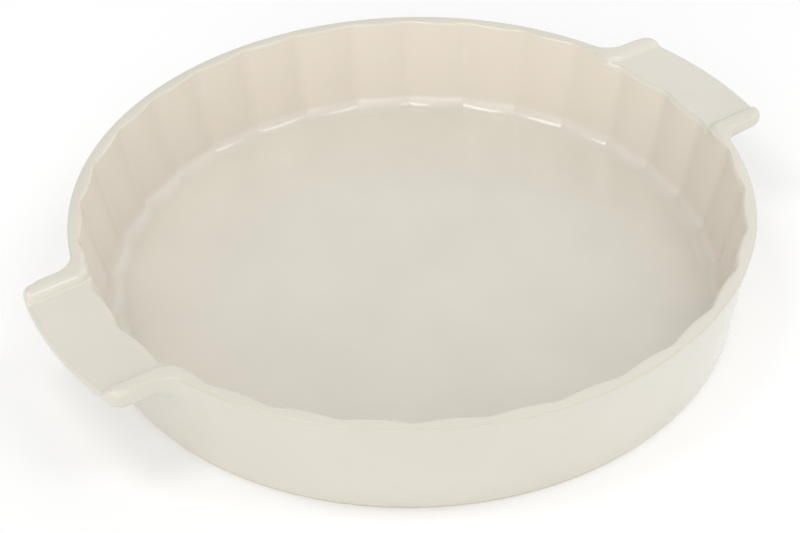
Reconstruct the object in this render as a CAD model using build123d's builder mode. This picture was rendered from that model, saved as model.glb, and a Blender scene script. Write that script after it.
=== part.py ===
from build123d import *
import math
import os

# Pie dish with a fluted inside, a plain sloping outside and two tab handles.
# Millimetres. +Z is up, the origin is at the middle of the foot, and +X runs
# through the handles. The dish stands on its foot ring at z = 0.

# Overall sizes
rim_diameter = 300.0
base_diameter = 285.0
dish_height = 50.0

# Inside: every flute is a cone that bulges into the dish, about an upright axis outside it.
# The thicknesses run level, from the outside to the innermost line of a flute.
flute_count = 32
flute_radius = 76.0
rim_thickness = 6.5
base_thickness = 8.4
lip_radius = 2.0
floor_height = 6.0
floor_fillet = 6.5

# Rim and foot
rim_edge_radius = 1.0
foot_edge_radius = 1.0
foot_ring_width = 7.0
foot_recess_depth = 2.0
foot_recess_draft = 1.0

# Handles: a flat tab between two raised beads that carry on the rim
handle_count = 2
handle_width = 84.0
handle_overhang = 23.0
handle_corner_radius = 5.5
handle_root_radius = 7.5
handle_edge_thickness = 5.0
handle_root_thickness = 10.0
handle_top_edge_radius = 1.0
bead_height = 4.0
bead_width = 10.0
bead_top_width = 7.0
bead_turn_radius = 6.5

# Glaze
glaze_thickness = 0.4
glaze_line_height = 1.5

# Allowances of the construction
overrun = 5.0
root_bite = 0.15

# Worked out from the sizes above
rim_radius = rim_diameter / 2
base_radius = base_diameter / 2
wall_slope = (rim_radius - base_radius) / dish_height
rim_crown_radius = rim_radius - rim_thickness
floor_crown_radius = base_radius + wall_slope * floor_height - base_thickness
handle_reach = rim_radius + handle_overhang
half_width = handle_width / 2
flute_angle = 360 / flute_count
flute_axis = rim_crown_radius + flute_radius
tab_top = dish_height - bead_height
tab_bottom = tab_top - handle_edge_thickness
root_bottom = tab_top - handle_root_thickness
root_foot = root_bottom - handle_root_radius
recess_ceiling = foot_recess_depth + glaze_thickness


def recess_radius(height):
    """Radius of the foot's recess at a height: its side leans in towards the ceiling."""
    return base_radius - foot_ring_width - foot_recess_draft * height / foot_recess_depth


def wall_radius(height, skin):
    """Radius of the outside of the wall at a height, in a form that lies skin under the glaze."""
    return base_radius + wall_slope * height - skin


def crown_radius(height, skin):
    """Distance from the dish's axis to the innermost line of a flute at a height."""
    share = (height - floor_height) / (dish_height - floor_height)
    return floor_crown_radius + (rim_crown_radius - floor_crown_radius) * share + skin


def cusp_radius(height, skin):
    """Distance from the dish's axis to the groove between two flutes at a height."""
    half = math.radians(flute_angle / 2)
    flute = flute_axis - crown_radius(height, skin)
    return flute_axis * math.cos(half) - math.sqrt(flute**2 - (flute_axis * math.sin(half)) ** 2)


def mid_wall(height, skin):
    """A radius inside the thickness of the wall, where pieces of the form meet out of sight."""
    return (cusp_radius(height, skin) + wall_radius(height, skin)) / 2


def flute_segment(skin):
    """One flute's share of the wall: a sector of the ring, cut to the cone of its flute."""
    top = dish_height - skin
    half = math.radians(flute_angle / 2)
    inward = (-math.cos(half), -math.sin(half), 0)
    foot = (flute_axis * math.cos(half), flute_axis * math.sin(half), 0)
    inner = floor_crown_radius - 2 * floor_fillet
    with BuildPart() as segment:
        with BuildSketch(Plane.XZ):
            Polygon(
                (inner, 0),
                (wall_radius(0, skin), 0),
                (wall_radius(dish_height, skin), top),
                (inner, top),
                align=None,
            )
            outer = vertices().sort_by(Axis.X)[-2:].sort_by(Axis.Y)
            fillet(outer[-1], rim_edge_radius - skin)
            fillet(outer[0], foot_edge_radius)
        revolve(axis=Axis.Z, revolution_arc=flute_angle)
        with BuildSketch(Plane(origin=foot, x_dir=inward, z_dir=(inward[1], -inward[0], 0))):
            Polygon(
                (0, -overrun),
                (flute_axis - crown_radius(-overrun, skin), -overrun),
                (flute_axis - crown_radius(dish_height, skin), top),
                (0, top),
                align=None,
            )
            fillet(vertices().group_by(Axis.Y)[-1].sort_by(Axis.X)[-1], lip_radius - skin)
        revolve(axis=Axis(foot, (0, 0, 1)), mode=Mode.INTERSECT)
    return segment.part


def tab_outline(height, skin):
    """Plan of a handle at a height: root fillets out of the wall, flanks, corners and outer arc."""
    wall = wall_radius(height, skin) - root_bite
    inner = mid_wall(height, skin)
    reach = handle_reach - skin
    flank = half_width - skin
    root = handle_root_radius + skin
    corner = handle_corner_radius - skin
    root_x = math.sqrt((wall + root) ** 2 - (flank + root) ** 2)
    root_turn = math.degrees(math.atan2(flank + root, root_x))
    corner_x = math.sqrt((reach - corner) ** 2 - (flank - corner) ** 2)
    corner_turn = math.degrees(math.atan2(flank - corner, corner_x))
    with BuildSketch(Plane.XY.offset(height)) as outline:
        with BuildLine():
            start = CenterArc((0, 0), inner, 0, root_turn)
            arc = CenterArc((root_x, flank + root), root, 180 + root_turn, 90 - root_turn)
            Line(start @ 1, arc @ 0)
            Line(arc @ 1, (corner_x, flank))
            CenterArc((corner_x, flank - corner), corner, corner_turn, 90 - corner_turn)
            CenterArc((0, 0), reach, 0, corner_turn)
            mirror(about=Plane.XZ)
        make_face()
    return outline.sketch


def handle_tab(skin):
    """One handle as a block with its beads' full height: its plan cut to its side profile."""
    top = dish_height - skin
    end = handle_reach + overrun
    plans = [tab_outline(root_foot - overrun, skin), tab_outline(top, skin)]
    with BuildPart() as tab:
        loft(plans, ruled=True)
        outer_arc_corners_flanks = edges().group_by(Axis.Z)[-1].sort_by(Axis.X)[-5:]
        fillet(outer_arc_corners_flanks, handle_top_edge_radius - skin)
        with BuildSketch(Plane.XZ):
            Polygon(
                (base_radius / 2, top + overrun),
                (end, top + overrun),
                (end, tab_bottom + skin),
                (handle_reach - skin, tab_bottom + skin),
                (wall_radius(root_bottom, skin) - root_bite, root_bottom + skin),
                (wall_radius(root_foot, skin) - root_bite, root_foot + skin),
                (base_radius / 2, root_foot + skin),
                align=None,
            )
            fillet(vertices().sort_by(Axis.Y)[2], handle_root_radius / 2 + skin)
        revolve(axis=Axis.Z, mode=Mode.INTERSECT)
    return tab.part


def pocket_outline(height, skin):
    """Plan of the space between a handle's beads at a height, open to the dish's inside."""
    slope = (bead_width - bead_top_width) / bead_height
    width = half_width - bead_width + slope * (height - tab_top) + skin
    turn = bead_turn_radius
    turn_x = math.sqrt((rim_crown_radius + turn) ** 2 - (width + turn) ** 2)
    turn_angle = math.degrees(math.atan2(width + turn, turn_x))
    with BuildSketch(Plane.XY.offset(height)) as outline:
        with BuildLine():
            arc = CenterArc((turn_x, width + turn), turn, 180 + turn_angle, 90 - turn_angle)
            Line((base_radius / 2, 0), (base_radius / 2, (arc @ 0).Y))
            Line((base_radius / 2, (arc @ 0).Y), arc @ 0)
            Line(arc @ 1, (handle_reach + overrun, width))
            Line((handle_reach + overrun, width), (handle_reach + overrun, 0))
            mirror(about=Plane.XZ)
        make_face()
    return outline.sketch


def dish_form(skin):
    """The whole dish with a solid bottom, lying skin under the surface of the glaze."""
    floor = floor_height - skin
    shoulder = floor_height + 2 * floor_fillet
    segment = flute_segment(skin)
    tab = handle_tab(skin)
    flat = tab_top - skin
    pocket_plans = [pocket_outline(flat, skin), pocket_outline(dish_height + overrun, skin)]
    with BuildPart() as pocket:
        loft(pocket_plans, ruled=True)
    with BuildPart() as form:
        with PolarLocations(0, flute_count):
            add(segment)
        with BuildSketch(Plane.XZ):
            Polygon(
                (0, 0),
                (mid_wall(0, skin), 0),
                (mid_wall(shoulder, skin), shoulder),
                (cusp_radius(shoulder, skin) + root_bite, shoulder),
                (cusp_radius(floor_height, skin) + root_bite, floor),
                (0, floor),
                align=None,
            )
            inside = vertices().filter_by_position(Axis.Y, floor, floor).sort_by(Axis.X)[-1]
            fillet(inside, floor_fillet + skin)
        revolve(axis=Axis.Z)
        with PolarLocations(0, handle_count):
            add(tab)
        with PolarLocations(0, handle_count):
            add(pocket.part, mode=Mode.SUBTRACT)
    return form.part


# The fired clay: the whole dish under its glaze, with a bare foot ring
with BuildPart() as stoneware_body:
    add(dish_form(glaze_thickness))
    with BuildSketch(Plane.XZ):
        Polygon(
            (0, 0),
            (recess_radius(0), 0),
            (recess_radius(recess_ceiling), recess_ceiling),
            (0, recess_ceiling),
            align=None,
        )
    revolve(axis=Axis.Z, mode=Mode.SUBTRACT)

# The glaze: one skin over the inside, the rim, the handles and the outside
with BuildPart() as glaze_coat:
    add(dish_form(0))
    split(bisect_by=Plane.XY.offset(glaze_line_height), keep=Keep.TOP)
    add(dish_form(glaze_thickness), mode=Mode.SUBTRACT)

# The glaze under the dish: a thin disc against the ceiling of the foot's recess
with BuildPart() as underside_glaze:
    with BuildSketch(Plane.XZ):
        Polygon(
            (0, foot_recess_depth),
            (recess_radius(foot_recess_depth), foot_recess_depth),
            (recess_radius(recess_ceiling), recess_ceiling),
            (0, recess_ceiling),
            align=None,
        )
    revolve(axis=Axis.Z)

os.makedirs("parts", exist_ok=True)
stoneware_body.part.label = "stoneware_body"
export_step(stoneware_body.part, "parts/stoneware_body.step")
glaze_coat.part.label = "glaze_coat"
export_step(glaze_coat.part, "parts/glaze_coat.step")
underside_glaze.part.label = "underside_glaze"
export_step(underside_glaze.part, "parts/underside_glaze.step")
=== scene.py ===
import math

import bpy
import numpy as np
from mathutils import Matrix, Vector


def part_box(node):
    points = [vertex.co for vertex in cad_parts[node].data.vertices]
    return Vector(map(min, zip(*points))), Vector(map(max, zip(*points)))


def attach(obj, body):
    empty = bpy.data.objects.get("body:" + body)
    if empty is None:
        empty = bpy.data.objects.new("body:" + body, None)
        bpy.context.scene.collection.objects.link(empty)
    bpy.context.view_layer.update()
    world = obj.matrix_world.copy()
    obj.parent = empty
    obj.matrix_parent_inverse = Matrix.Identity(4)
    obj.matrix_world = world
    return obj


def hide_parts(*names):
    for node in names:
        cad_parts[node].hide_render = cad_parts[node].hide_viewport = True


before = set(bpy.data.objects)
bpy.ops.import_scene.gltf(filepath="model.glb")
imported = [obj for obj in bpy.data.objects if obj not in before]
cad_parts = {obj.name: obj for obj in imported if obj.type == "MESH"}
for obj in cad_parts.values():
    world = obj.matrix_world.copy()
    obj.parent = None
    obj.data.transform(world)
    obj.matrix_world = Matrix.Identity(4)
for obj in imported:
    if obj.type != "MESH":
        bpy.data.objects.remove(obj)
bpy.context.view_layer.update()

# Metres, in the frame of the solids: +Z up, origin at the middle of the foot,
# +X through the handles. The glazed surface is one formula, form(), that is
# negative inside the material, positive outside, and about the distance close
# to the surface. Its roundings are those of soft fired clay.

# The dish. A crown is the distance from the axis to the flutes' innermost lines.
rim_radius = 0.14995
base_radius = 0.14245
height = 0.050
flute_count = 32
flute_radius = 0.076
rim_crown = 0.1435
floor_crown = 0.135
floor_height = 0.006
groove_round = 0.0013
floor_fillet = 0.0065
lip_round = 0.0013
rim_edge_round = 0.0008
foot_edge_round = 0.0009
wall_middle = 0.0035

# The rim's top falls off outwards by this times the square of the way past the lip
rim_droop = 17.0

# The handles: a flat tab between two beads. The saddle is the space between the beads.
reach = 0.1731
half_width = 0.042
corner_round = 0.0043
root_round = 0.0075
tab_top = 0.046
tab_edge = 0.005
tab_root = 0.0395
tab_top_round = 0.0024
bead_end_round = 0.0028
bead_flank_round = 0.0012
right_handle_lift = 0.0016
tab_bottom_round = 0.0038
shelf_lip_round = 0.0022
saddle_half = 0.0328
saddle_draft_share = 0.25
saddle_crease = 0.0006
bead_round = 0.0036
bead_turn = 0.0065

# The glaze and the foot
glaze = 0.0004
glaze_line = 0.0013
glaze_line_drift = 0.0003
foot_ring_width = 0.007
foot_inner_round = 0.0006
recess_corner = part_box("underside_glaze")[1]

# Worked out from the sizes above
wall_slope = (rim_radius - base_radius) / height
wall_cos = math.cos(math.atan(wall_slope))
crown_slope = (rim_crown - floor_crown) / (height - floor_height)
inner_cos = math.cos(math.atan(crown_slope))
flute_angle = math.tau / flute_count
flute_axis = rim_crown + flute_radius
tab_slope = (tab_top - tab_edge - tab_root) / (reach - base_radius - wall_slope * tab_root)
tab_cos = math.cos(math.atan(tab_slope))
handle_blend = 1.5 * lip_round
lip_fade = 2 * lip_round


def rounded_and(a, b, radius):
    """What two forms share, with the edge between them rounded."""
    both = np.hypot(np.maximum(radius + a, 0), np.maximum(radius + b, 0))
    return np.minimum(-radius, np.maximum(a, b)) + both


def rounded_or(a, b, radius):
    """Two forms together, with a fillet where they meet."""
    both = np.hypot(np.maximum(radius - a, 0), np.maximum(radius - b, 0))
    return np.maximum(radius, np.minimum(a, b)) - both


def inner_wall(x, y, r, z):
    """The fluted wall and the floor, seen from the inside of the dish."""
    turn = np.arctan2(y, x) / flute_angle
    near = (turn - np.floor(turn) - 0.5) * flute_angle
    far = flute_angle - np.abs(near)
    flute = flute_axis - floor_crown - crown_slope * (z - floor_height)
    first = (np.hypot(r * np.cos(near) - flute_axis, r * np.sin(near)) - flute) * inner_cos
    second = (np.hypot(r * np.cos(far) - flute_axis, r * np.sin(far)) - flute) * inner_cos
    flutes = rounded_or(first, second, groove_round)
    return rounded_or(flutes, z - floor_height, floor_fillet)


def outer_wall(y, r, z, lift):
    """The plain outside with the two tabs, as if both went on above the rim."""
    outside = (r - base_radius - wall_slope * z) * wall_cos
    plan = rounded_and(np.abs(y) - half_width, r - reach, corner_round)
    rise = tab_root + tab_slope * (r - base_radius - wall_slope * tab_root)
    tab = rounded_and(plan, (rise + lift - z) * tab_cos, tab_bottom_round)
    return rounded_or(outside, tab, root_round)


def eased(value, low, high):
    """0 below low, 1 above high, and a smooth climb between them."""
    share = np.clip((value - low) / (high - low), 0, 1)
    return share * share * (3 - 2 * share)


def form(x, y, z):
    """The glazed dish: negative inside, zero on the surface, positive outside."""
    r = np.hypot(x, y)
    inside = inner_wall(x, y, r, z)
    handle_side = eased(half_width + root_round - np.abs(y), 0, root_round)
    on_handle = eased(-inside, 0, handle_blend) * handle_side
    out = np.clip(r - rim_crown - lip_round, 0, rim_radius - rim_crown - lip_round)
    rim_top = height - rim_droop * out * out * (1 - handle_side)
    lift = np.where(x > 0, right_handle_lift, 0)
    above_tab = z - tab_top - lift
    saddle = saddle_half + saddle_draft_share * above_tab - np.abs(y)
    top_round = lip_round + (bead_round - lip_round) * on_handle
    raised = rounded_and(rounded_and(inside, saddle, bead_turn), z - rim_top, top_round)
    shelf = rounded_and(inside, above_tab, shelf_lip_round)
    inner = rounded_or(raised, shelf, saddle_crease * on_handle)
    flank_share = eased(reach - r, corner_round, 2 * corner_round)
    bead_edge = bead_end_round + (bead_flank_round - bead_end_round) * flank_share
    end_round = tab_top_round + (bead_edge - tab_top_round) * eased(above_tab, 0, bead_round)
    edge_round = rim_edge_round + (end_round - rim_edge_round) * on_handle
    whole = rounded_and(inner, outer_wall(y, r, z, lift), edge_round)
    return rounded_and(whole, -z, foot_edge_round)


# How far from a point the form is read, for slopes and for bends
nudge = 1e-5
edge_reach = 5e-4


def normals_of(points):
    """Unit normals of the form at points, an array of rows of x, y, z."""
    x, y, z = points.T
    across = form(x + nudge, y, z) - form(x - nudge, y, z)
    along = form(x, y + nudge, z) - form(x, y - nudge, z)
    up = form(x, y, z + nudge) - form(x, y, z - nudge)
    normal = np.stack([across, along, up], -1)
    return normal / np.linalg.norm(normal, axis=1, keepdims=True)


def edge_of(points):
    """How sharply the form bends, from its six neighbours: 1 on an edge like the rim's, 0 if flat."""
    x, y, z = points.T
    around = -6 * form(x, y, z)
    for side in (-edge_reach, edge_reach):
        around += form(x + side, y, z) + form(x, y + side, z) + form(x, y, z + side)
    return around / edge_reach**2 * rim_edge_round


# Where the fluted wall's painted light goes: there the cream turns lighter and rosier
def on_inner_wall(points):
    """1 on the fluted wall, fading to 0 below the lip and over the fillet to the floor."""
    x, y, z = points.T
    crown = floor_crown + crown_slope * (z - floor_height)
    inner = eased(crown + wall_middle - np.hypot(x, y), 0, lip_round)
    lip = height + (tab_top - height) * eased(half_width + root_round - np.abs(y), 0, root_round)
    return inner * eased(z, floor_height, floor_height + floor_fillet) * eased(lip - z, 0, lip_fade)


def settle(r, z, cos, sin, rounds):
    """Moves points of upright half-planes onto the surface; returns their in-plane slope too."""
    for _ in range(rounds):
        value = form(r * cos, r * sin, z)
        out = (form((r + nudge) * cos, (r + nudge) * sin, z) - value) / nudge
        up = (form(r * cos, r * sin, z + nudge) - value) / nudge
        shift = value / (out * out + up * up)
        r = r - shift * out
        z = z - shift * up
    return r, z, out, up


# The net of points: sections through the dish's axis, each traced from the
# outside of the foot over the rim to the floor, and then spaced so that tight
# roundings get more points. A section has arrived where its steps are shorter than
# still_share of a whole one. The rounds are how often points are drawn to the form.
trace_step = 0.0003
trace_start = 0.0026
trace_limit = 900
floor_stop = 0.126
still_share = 0.1
first_rounds = 3
settle_rounds = 2

# Sections of a quarter turn. They crowd at the grooves, and at the beads, between
# two angles from the handles' axis. The angles are in degrees.
quarter_sections = 192
angles_tried = 4001
groove_crowding = 2.5
groove_reach = 1.1
bead_crowding = 8
bead_from = 10.2
bead_to = 18.6
bead_steepness = 4

# A section is cut into stretches, where it passes a height or leans in at its
# tip, and each stretch gets so many points.
root_level = 0.026
tip_lean_share = 0.34
lip_level = 0.043
fillet_level = 0.0145
outer_points = 6
handle_points = 24
top_points = 30
inner_points = 5
fillet_points = 12

# A length and a turning that count alike when points are shared out, and over
# how many trace steps the turning is smoothed
length_share = 0.0035
turning_share = math.radians(14)
turning_window = 5


def section_angles():
    """Angles of the sections over a half turn between the handles, closer at grooves and beads."""
    fine = np.linspace(0, math.pi / 2, angles_tried)
    degrees = np.degrees(fine)
    pitch = math.degrees(flute_angle)
    off_groove = np.abs((degrees / pitch + 0.5) % 1 - 0.5) * pitch
    weight = 1 + groove_crowding * np.exp(-((off_groove / groove_reach) ** 2))
    before_bead = 1 + np.exp((bead_from - degrees) * bead_steepness)
    after_bead = 1 + np.exp((degrees - bead_to) * bead_steepness)
    weight += bead_crowding / before_bead / after_bead
    total = np.concatenate([[0], np.cumsum((weight[1:] + weight[:-1]) / 2)])
    quarter = np.interp(np.linspace(0, total[-1], quarter_sections + 1), total, fine)
    return np.concatenate([quarter, math.pi - quarter[-2::-1]])


def trace(angles):
    """Walks all the sections at once along the surface; returns r and z, step by step."""
    cos, sin = np.cos(angles), np.sin(angles)
    z = np.full_like(angles, trace_start)
    r, z, out, up = settle(base_radius + wall_slope * z, z, cos, sin, first_rounds)
    rows = [(r, z)]
    for _ in range(trace_limit):
        steep = np.hypot(out, up)
        arrived = (z < floor_height + lip_round) & (r < floor_stop)
        if arrived.all():
            break
        ahead_r = r - trace_step * up / steep
        ahead_z = z + trace_step * out / steep
        moved = settle(ahead_r, ahead_z, cos, sin, settle_rounds)
        r, z, out, up = (np.where(arrived, old, new) for old, new in zip((r, z, out, up), moved))
        rows.append((r, z))
    return np.array(rows)


def spread(r, z, first, last, count):
    """Places, as fractional indices, that share out a stretch by its length and its turning."""
    r, z = r[first : last + 1], z[first : last + 1]
    dr, dz = np.diff(r), np.diff(z)
    heading = np.unwrap(np.arctan2(dz, dr))
    turning = np.abs(np.diff(heading, prepend=heading[0]))
    turning = np.convolve(turning, np.ones(turning_window) / turning_window, mode="same")
    weight = np.hypot(dr, dz) / length_share + turning / turning_share
    total = np.concatenate([[0], np.cumsum(weight)])
    return first + np.interp(np.linspace(0, total[-1], count + 1), total, np.arange(len(total)))


def sections():
    """Angles of a half turn's sections, and r and z of their points, row by row."""
    angles = section_angles()
    traced = trace(angles)
    columns = []
    for number in range(len(angles)):
        r, z = traced[:, 0, number], traced[:, 1, number]
        moved = np.hypot(np.diff(r), np.diff(z)) > trace_step * still_share
        last = int(np.nonzero(moved)[0][-1]) + 1
        lean = np.diff(r, append=r[-1]) / trace_step
        root = int(np.argmax(z > root_level))
        tip = root + int(np.argmax(lean[root:] < -tip_lean_share))
        lip = tip + int(np.argmax(z[tip:] < lip_level))
        fillet = lip + int(np.argmax(z[lip:] < fillet_level))
        marks = [0, root, tip, lip, fillet, last]
        counts = [outer_points, handle_points, top_points, inner_points, fillet_points]
        spots = [np.zeros(1)]
        for first, after, count in zip(marks, marks[1:], counts):
            spots.append(spread(r, z, first, after, count)[1:])
        spots = np.concatenate(spots)
        steps = np.arange(len(r))
        columns.append((np.interp(spots, steps, r), np.interp(spots, steps, z)))
    r = np.array([column[0] for column in columns]).T
    z = np.array([column[1] for column in columns]).T
    r, z, _, _ = settle(r, z, np.cos(angles), np.sin(angles), settle_rounds)
    return angles, r, z


def ring_points(turn, r, z):
    """Points at angles, distances from the axis and heights."""
    return np.stack([r * np.cos(turn), r * np.sin(turn), z + 0 * turn], -1)


def whole_turn(angles, r, z):
    """Mirrors the half to both; returns the angles and the rings from the foot inwards."""
    last = len(angles) - 1
    order = np.concatenate([np.arange(last), np.arange(last, 0, -1)])
    turn = np.concatenate([angles[:-1], math.tau - angles[:0:-1]])
    return turn, np.array([ring_points(turn, *ring) for ring in zip(r[:, order], z[:, order])])


# The rings inside a flat disc, each as a share of the one before
disc_shares = (0.93, 0.86, 0.72, 0.55, 0.35)


class Net:
    """Gathers points, normals and faces of one mesh piece. Faces turn left seen from outside."""

    def __init__(self):
        self.points, self.normals, self.faces, self.count = [], [], [], 0

    def ring(self, points, normals):
        """Adds a closed ring of points and returns their numbers."""
        self.points.append(points)
        self.normals.append(np.broadcast_to(normals, points.shape))
        numbers = np.arange(self.count, self.count + len(points))
        self.count += len(points)
        return numbers

    def add(self, faces, flip):
        """Adds faces, rows of point numbers, and turns them over where flip is set."""
        self.faces += (faces[:, ::-1] if flip else faces).tolist()

    def band(self, low, high, flip=False):
        """Quads between two rings of as many points."""
        self.add(np.stack([low, np.roll(low, -1), np.roll(high, -1), high], -1), flip)

    def halve(self, fine, coarse, flip=False):
        """Five-sided faces between a ring and one with half as many points."""
        after, beyond = np.roll(fine[::2], -1), np.roll(coarse, -1)
        self.add(np.stack([fine[::2], fine[1::2], after, beyond, coarse], -1), flip)

    def stack(self, rings, normals, flip=False):
        """Rings joined by quads; returns the first and the last ring's numbers."""
        numbers = [self.ring(points, normal) for points, normal in zip(rings, normals)]
        for low, high in zip(numbers, numbers[1:]):
            self.band(low, high, flip)
        return numbers[0], numbers[-1]

    def close(self, ring, points, normal, flip=False):
        """Closes a flat disc: rings with half as many points each time, and a fan in the middle."""
        for share in disc_shares:
            points = points[::2] * np.array([share, share, 1])
            inner = self.ring(points, normal)
            self.halve(ring, inner, flip)
            ring = inner
        middle = self.ring(points.mean(0, keepdims=True), normal)
        self.add(np.stack([ring, np.roll(ring, -1), np.repeat(middle, len(ring))], -1), flip)

    def piece(self, name):
        """Makes the mesh object, shaded with the gathered normals."""
        mesh = bpy.data.meshes.new(name)
        mesh.from_pydata(np.concatenate(self.points).tolist(), [], self.faces)
        mesh.polygons.foreach_set("use_smooth", [True] * len(mesh.polygons))
        mesh.normals_split_custom_set_from_vertices(np.concatenate(self.normals).tolist())
        piece = bpy.data.objects.new(name, mesh)
        bpy.context.scene.collection.objects.link(piece)
        return piece


up = np.array([0.0, 0.0, 1.0])

angles, section_r, section_z = sections()
turn, skin = whole_turn(angles, section_r, section_z)
skin_normals = normals_of(skin.reshape(-1, 3)).reshape(skin.shape)
under = (skin - glaze * skin_normals)[::2, ::2]
under_normals = skin_normals[::2, ::2]

# The glaze stops a little above the foot in a soft, slightly wandering edge. Each
# row is a ring of that edge: its share of the way up to the first traced row, and
# how deep it is sunk, as a share of the glaze. The edge wanders in waves: how many
# there are round the foot, each one's share of the drift, and its phase.
line_rows = ((0.0, 0.75), (0.10, 0.20), (0.40, 0.0))
line_drift = ((2, 0.5, 1.1), (5, 0.3, 4.0), (9, 0.2, 2.3))
outward = np.stack([np.cos(turn), np.sin(turn), np.full_like(turn, -wall_slope)], -1) * wall_cos
drift = sum(share * np.sin(waves * turn + phase) for waves, share, phase in line_drift)
line = glaze_line + glaze_line_drift * drift


def line_ring(share, lift):
    """A ring of the glaze's edge: a share of the way up to the first traced row, and sunk."""
    z = line + (trace_start - line) * share
    return ring_points(turn, base_radius + wall_slope * z, z) - outward * glaze * lift


line_rings = np.array([line_ring(share, lift) for share, lift in line_rows])
line_normals = np.array([outward - lift * up for share, lift in line_rows])
line_normals /= np.linalg.norm(line_normals, axis=-1, keepdims=True)
skin_rings = np.concatenate([line_rings, skin])
skin_normals = np.concatenate([line_normals, skin_normals])
under_rings = np.concatenate([line_ring(0, 1)[None, ::2], under])
under_normals = np.concatenate([outward[None, ::2], under_normals])

net = Net()
foot, brim = net.stack(skin_rings, skin_normals)
net.close(brim, skin_rings[-1], up)
under_foot, under_brim = net.stack(under_rings, -under_normals, flip=True)
net.close(under_brim, under_rings[-1], -up, flip=True)
net.halve(foot, under_foot, flip=True)
glaze_skin = net.piece("glaze_skin")
# The bend of the edges gives the tan of thin glaze; the fluted wall's share gives its painted light
for name, measure in (("edge", edge_of), ("inner wall", on_inner_wall)):
    values = np.zeros(net.count)
    values[: skin_rings.size // 3] = measure(skin_rings.reshape(-1, 3))
    glaze_skin.data.attributes.new(name, "FLOAT", "POINT").data.foreach_set("value", values)

# The clay: the glaze's inner side, and a foot ring round the glazed recess
clay_turn = turn[::2]
foot_round_points = 5


def foot_profile():
    """r and z of the bare foot, from below the glaze line to the recess's ceiling."""
    clay_base = base_radius - glaze * wall_cos
    inner = base_radius - foot_ring_width
    steps = np.linspace(0, math.pi / 2, foot_round_points)
    outer_r = clay_base - foot_edge_round * (1 - np.cos(steps))
    outer_z = foot_edge_round * (1 - np.sin(steps))
    inner_r = inner + foot_inner_round * (1 - np.sin(steps))
    inner_z = foot_inner_round * (1 - np.cos(steps))
    r = np.concatenate([outer_r, inner_r, [recess_corner.x]])
    z = np.concatenate([outer_z, inner_z, [recess_corner.z]])
    return r[::-1], z[::-1]


def profile_rings(r, z):
    """Rings of a turned profile and their normals, which lie right of the way it runs."""
    dr, dz = np.gradient(r), np.gradient(z)
    rings = np.array([ring_points(clay_turn, ring_r, ring_z) for ring_r, ring_z in zip(r, z)])
    lie = np.array([ring_points(clay_turn, b, -a) for a, b in zip(dr, dz)])
    return rings, lie / np.linalg.norm(lie, axis=-1, keepdims=True)


foot_rings, foot_normals = profile_rings(*foot_profile())
clay_rings = np.concatenate([foot_rings, under_rings])
clay_normals = np.concatenate([foot_normals, under_normals])
net = Net()
ceiling, brim = net.stack(clay_rings, clay_normals)
net.close(brim, clay_rings[-1], up)
net.close(ceiling, clay_rings[0], -up, flip=True)
clay_body = net.piece("clay_body")

for piece, node, slot in (
    (glaze_skin, "glaze_coat", "glaze"),
    (clay_body, "stoneware_body", "bare_clay"),
):
    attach(piece, "root")
    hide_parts(node)


# Materials
def srgb(red, green, blue):
    """A colour as written on a screen, in Blender's linear values."""
    shares = [value / 255 for value in (red, green, blue)]
    return [s / 12.92 if s < 0.04045 else ((s + 0.055) / 1.055) ** 2.4 for s in shares] + [1.0]


# The Mix node's colour sockets by number, because several of its sockets share a name
mix_first = 6
mix_second = 7
mix_result = 2


class Tree:
    """Adds nodes to a node tree and joins them."""

    def __init__(self, tree):
        self.tree = tree

    def set(self, socket, value):
        """Joins a socket to another node's output, or writes its value."""
        if isinstance(value, bpy.types.NodeSocket):
            self.tree.links.new(value, socket)
        else:
            socket.default_value = value

    def node(self, kind, **values):
        """Adds a node. Names with a capital are its sockets, the others its own settings."""
        node = self.tree.nodes.new(kind)
        for name, value in values.items():
            if name[0].isupper():
                self.set(node.inputs[name.replace("_", " ")], value)
            else:
                setattr(node, name, value)
        return node

    def noise(self, scale, detail=2.0, rough=0.5):
        """Soft cloudy values about 0.5, at so many cells a metre."""
        place = self.node("ShaderNodeNewGeometry").outputs["Position"]
        values = {"Vector": place, "Scale": scale, "Detail": detail, "Roughness": rough}
        return self.node("ShaderNodeTexNoise", **values).outputs["Fac"]

    def ramp(self, value, *stops):
        """A colour ramp through (place, colour) pairs."""
        node = self.node("ShaderNodeValToRGB", Fac=value)
        while len(node.color_ramp.elements) < len(stops):
            node.color_ramp.elements.new(0.5)
        for element, (place, colour) in zip(node.color_ramp.elements, stops):
            element.position = place
            element.color = colour
        return node.outputs["Color"]

    def span(self, value, low, high, to_low, to_high):
        """Maps a value's range to another range, and holds it at the ends."""
        node = self.node("ShaderNodeMapRange", Value=value)
        ends = {"From Min": low, "From Max": high, "To Min": to_low, "To Max": to_high}
        for name, amount in ends.items():
            node.inputs[name].default_value = amount
        return node.outputs["Result"]

    def mix(self, share, first, second):
        """Blends two colours by a share."""
        node = self.node("ShaderNodeMix", data_type="RGBA")
        self.set(node.inputs["Factor"], share)
        self.set(node.inputs[mix_first], first)
        self.set(node.inputs[mix_second], second)
        return node.outputs[mix_result]

    def math(self, operation, first, second):
        """One operation, such as a sum or a product, on two values."""
        node = self.node("ShaderNodeMath", operation=operation)
        self.set(node.inputs[0], first)
        self.set(node.inputs[1], second)
        return node.outputs["Value"]


class Shading(Tree):
    """A node material with one Principled shader."""

    def __init__(self, name, **sockets):
        self.material = bpy.data.materials.new(name)
        self.material.use_nodes = True
        super().__init__(self.material.node_tree)
        self.shader = self.tree.nodes["Principled BSDF"]
        for socket, value in sockets.items():
            self.shader.inputs[socket.replace("_", " ")].default_value = value

    def link(self, output, socket):
        """Joins an output to a socket of the shader."""
        self.tree.links.new(output, self.shader.inputs[socket])

    def bump(self, height_value, distance):
        """Ripples the surface: a value times a distance in metres."""
        node = self.node("ShaderNodeBump", Height=height_value, Distance=distance, Strength=1.0)
        self.link(node.outputs["Normal"], "Normal")


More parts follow.
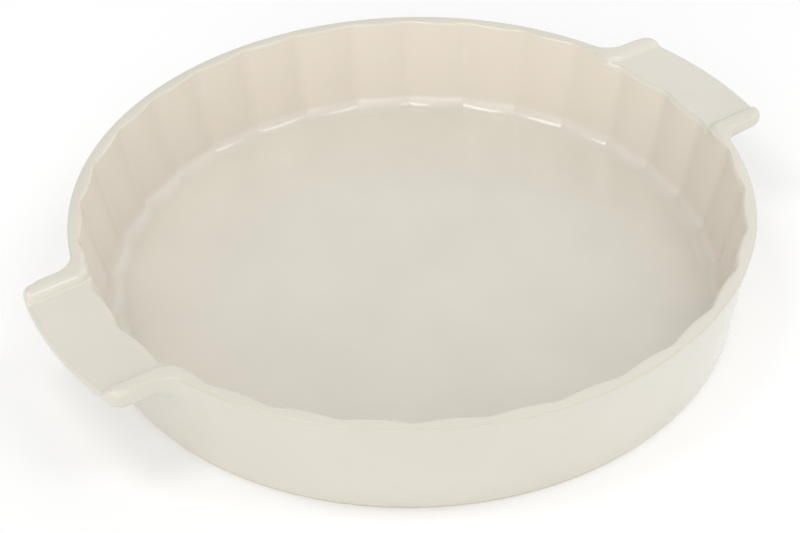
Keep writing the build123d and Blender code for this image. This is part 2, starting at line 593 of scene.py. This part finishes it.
# Noise lies mostly between these values
noise_low = 0.3
noise_high = 0.7

# The glaze's colours, and its patterns in cells a metre
cream_dark = srgb(223, 218, 205)
cream_light = srgb(227, 222, 209)
# Painted light: a lighter, rosier cream for the fluted wall that brightens the inside of the dish
rosy_painted_light_cream = srgb(230, 221, 208)
thin_tan = srgb(192, 172, 118)
cloud_scale = 22.0
cloud_low = 0.35
cloud_high = 0.65
patch_scale = 90.0
patch_least = 0.85
patch_most = 1.35
thin_from = 0.3
thin_to = 1.1
thin_most = 0.22
gloss_scale = 60.0
gloss_least = 0.29
gloss_most = 0.35
wave_scale = 55.0
wave_share = 3.0
ripple_scale = 420.0
ripple_depth = 0.00006

# The clay's colours, grain and roughness
clay_dark = srgb(212, 195, 168)
clay_light = srgb(228, 212, 188)
grain_scale = 900.0
grain_depth = 0.00008
clay_rough_least = 0.72
clay_rough_most = 0.9


def glaze_material(name, on_dish):
    """Cream glaze: clouded, unevenly glossy, rippled. On the dish, tan edges and painted light:
    lighter, rosier flutes.
    """
    glazed = Shading(name, IOR=1.5, Coat_Weight=0.8, Coat_Roughness=0.08, Coat_IOR=1.5)
    cloud = glazed.noise(cloud_scale, detail=3.0)
    cream = glazed.ramp(cloud, (cloud_low, cream_dark), (cloud_high, cream_light))
    if on_dish:
        # Painted light on the fluted wall: over its share the cream turns lighter and rosier
        wall = glazed.node("ShaderNodeAttribute", attribute_name="inner wall").outputs["Fac"]
        cream = glazed.mix(wall, cream, rosy_painted_light_cream)
        edge = glazed.node("ShaderNodeAttribute", attribute_name="edge").outputs["Fac"]
        patch = glazed.noise(patch_scale, detail=3.0)
        patch = glazed.span(patch, noise_low, noise_high, patch_least, patch_most)
        uneven = glazed.math("MULTIPLY", edge, patch)
        thin = glazed.span(uneven, thin_from, thin_to, 0.0, thin_most)
        cream = glazed.mix(thin, cream, thin_tan)
    glazed.link(cream, "Base Color")
    gloss = glazed.noise(gloss_scale, detail=2.0)
    gloss = glazed.span(gloss, noise_low, noise_high, gloss_least, gloss_most)
    glazed.link(gloss, "Roughness")
    waves = glazed.math("MULTIPLY", glazed.noise(wave_scale, detail=1.0), wave_share)
    ripples = glazed.noise(ripple_scale, detail=2.0)
    glazed.bump(glazed.math("ADD", waves, ripples), ripple_depth)
    return glazed.material


def clay_material():
    """Bare fired clay: matt, warm and finely grained."""
    clay = Shading("bare clay", IOR=1.45)
    grain = clay.noise(grain_scale, detail=4.0, rough=0.6)
    clay.link(clay.ramp(grain, (noise_low, clay_dark), (noise_high, clay_light)), "Base Color")
    rough = clay.span(grain, noise_low, noise_high, clay_rough_least, clay_rough_most)
    clay.link(rough, "Roughness")
    clay.bump(grain, grain_depth)
    return clay.material


glaze_skin.data.materials.append(glaze_material("cream glaze", True))
clay_body.data.materials.append(clay_material())
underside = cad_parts["underside_glaze"]
underside.data.materials.clear()
underside.data.materials.append(glaze_material("cream glaze under the foot", False))


# Floor, camera and lights
floor_half = 12.0
floor_corners = ((-1, -1), (1, -1), (1, 1), (-1, 1))
floor_glow = 0.27
paper_scale = 3.0
paper_dark = 0.79
paper_light = 0.81


def plainly_seen(tree):
    """1 for what the camera sees straight, in a reflection or through glass; 0 for other light."""
    path = tree.node("ShaderNodeLightPath")
    seen = tree.math("MAXIMUM", path.outputs["Is Camera Ray"], path.outputs["Is Glossy Ray"])
    return tree.math("MAXIMUM", seen, path.outputs["Is Transmission Ray"])


def grey(level):
    """A colour without a hue, in Blender's linear values."""
    return [level, level, level, 1.0]


def floor_material():
    """White paper that the camera sees as plain white outside the dish's shadow."""
    paper = Shading("white floor", Specular_IOR_Level=0.0, Roughness=1.0)
    cloud = paper.noise(paper_scale)
    tint = paper.ramp(cloud, (noise_low, grey(paper_dark)), (noise_high, grey(paper_light)))
    paper.link(tint, "Base Color")
    paper.shader.inputs["Emission Color"].default_value = (1, 1, 1, 1)
    paper.link(paper.math("MULTIPLY", plainly_seen(paper), floor_glow), "Emission Strength")
    return paper.material


floor_points = [(x * floor_half, y * floor_half, 0) for x, y in floor_corners]
floor_mesh = bpy.data.meshes.new("floor")
floor_mesh.from_pydata(floor_points, [], [(0, 1, 2, 3)])
floor = bpy.data.objects.new("floor", floor_mesh)
bpy.context.scene.collection.objects.link(floor)
floor_mesh.materials.append(floor_material())

# The camera stands in front of the dish, turned from its handles' axis. It looks at
# the middle of the foot, and then turns by small angles in radians.
camera_distance = 0.6876872
camera_height = 0.5573008
camera_turn = math.radians(-33.564)
camera_pan = 0.0065
camera_tilt = 0.0087
camera_roll = 0.0214
focal_length = 87.75
sensor_width = 36.0

stand = Matrix.Rotation(camera_turn, 3, "Z")
eye = Vector((0, -camera_distance, camera_height))
axes = {"right": Vector((1, 0, 0)), "look": -eye.normalized()}
axes["top"] = axes["right"].cross(axes["look"])
for name, angle in (("top", camera_pan), ("right", camera_tilt), ("look", camera_roll)):
    swing = Matrix.Rotation(angle, 3, axes[name])
    axes = {key: swing @ axis for key, axis in axes.items()}
camera_data = bpy.data.cameras.new("camera")
camera_data.lens = focal_length
camera_data.sensor_width = sensor_width
camera = bpy.data.objects.new("camera", camera_data)
pose = Matrix((stand @ axes["right"], stand @ axes["top"], stand @ -axes["look"]))
pose = pose.transposed().to_4x4()
pose.translation = stand @ eye
camera.matrix_world = pose
bpy.context.scene.collection.objects.link(camera)
bpy.context.scene.camera = camera


# Light from all round, and broad lobes of more light, the strongest low in front. A
# lobe is a direction, right, away and up as the camera stands, and a strength.
sky_all_round = 0.12
sky_lobe_power = 6
sky_lobes = (
    ((0, -1, 0.1), 2.15),
    ((-0.25, -0.73, 0.64), 0.9),
    ((0, 1, 0.8), 0.5),
    ((0.7, 0.7, 0.35), 1.0),
    ((-1, 0, 0.31), 0.9),
    ((1, 0, 0.31), 1.0),
)

# Low over the floor's edge the sky is seen as pale as the far floor. The two heights,
# sines of the angle over the horizon, are where that begins to fade and where it ends.
horizon_glow = 0.82
horizon_low = 0.2
horizon_high = 0.35

world = bpy.data.worlds.new("studio")
bpy.context.scene.world = world
world.use_nodes = True
sky = Tree(world.node_tree)
background = world.node_tree.nodes["Background"]
background.inputs["Color"].default_value = (1, 1, 1, 1)
towards = sky.node("ShaderNodeTexCoord").outputs["Generated"]


def facing(direction):
    """How far a ray of the sky points along a direction of the camera's stand, from 0 to 1."""
    node = sky.node("ShaderNodeVectorMath", operation="DOT_PRODUCT")
    world.node_tree.links.new(towards, node.inputs[0])
    node.inputs[1].default_value = stand @ Vector(direction).normalized()
    return sky.math("MAXIMUM", node.outputs["Value"], 0.0)


level = sky_all_round
for direction, strength in sky_lobes:
    lobe = sky.math("POWER", facing(direction), sky_lobe_power)
    level = sky.math("ADD", level, sky.math("MULTIPLY", lobe, strength))

low_down = sky.span(facing((0, 0, 1)), horizon_low, horizon_high, 1.0, 0.0)
seen_low = sky.math("MULTIPLY", plainly_seen(sky), low_down)
change = sky.math("MULTIPLY", sky.math("SUBTRACT", horizon_glow, level), seen_low)
world.node_tree.links.new(sky.math("ADD", level, change), background.inputs["Strength"])


def softbox(name, side, back, above, width, depth, power):
    """A level lamp that shines down; side is to the camera's right, back is away from it."""
    data = bpy.data.lights.new(name, "AREA")
    data.shape = "RECTANGLE"
    data.size = width
    data.size_y = depth
    data.energy = power
    lamp = bpy.data.objects.new(name, data)
    lamp.matrix_world = Matrix.Translation(stand @ Vector((side, back, above))) @ stand.to_4x4()
    bpy.context.scene.collection.objects.link(lamp)


softbox("left lamp", side=-0.40, back=-0.15, above=1.0, width=0.46, depth=0.30, power=2.1)
softbox("right lamp", side=0.54, back=-0.20, above=1.0, width=0.58, depth=0.28, power=1.75)

bpy.context.scene.view_settings.view_transform = "Standard"
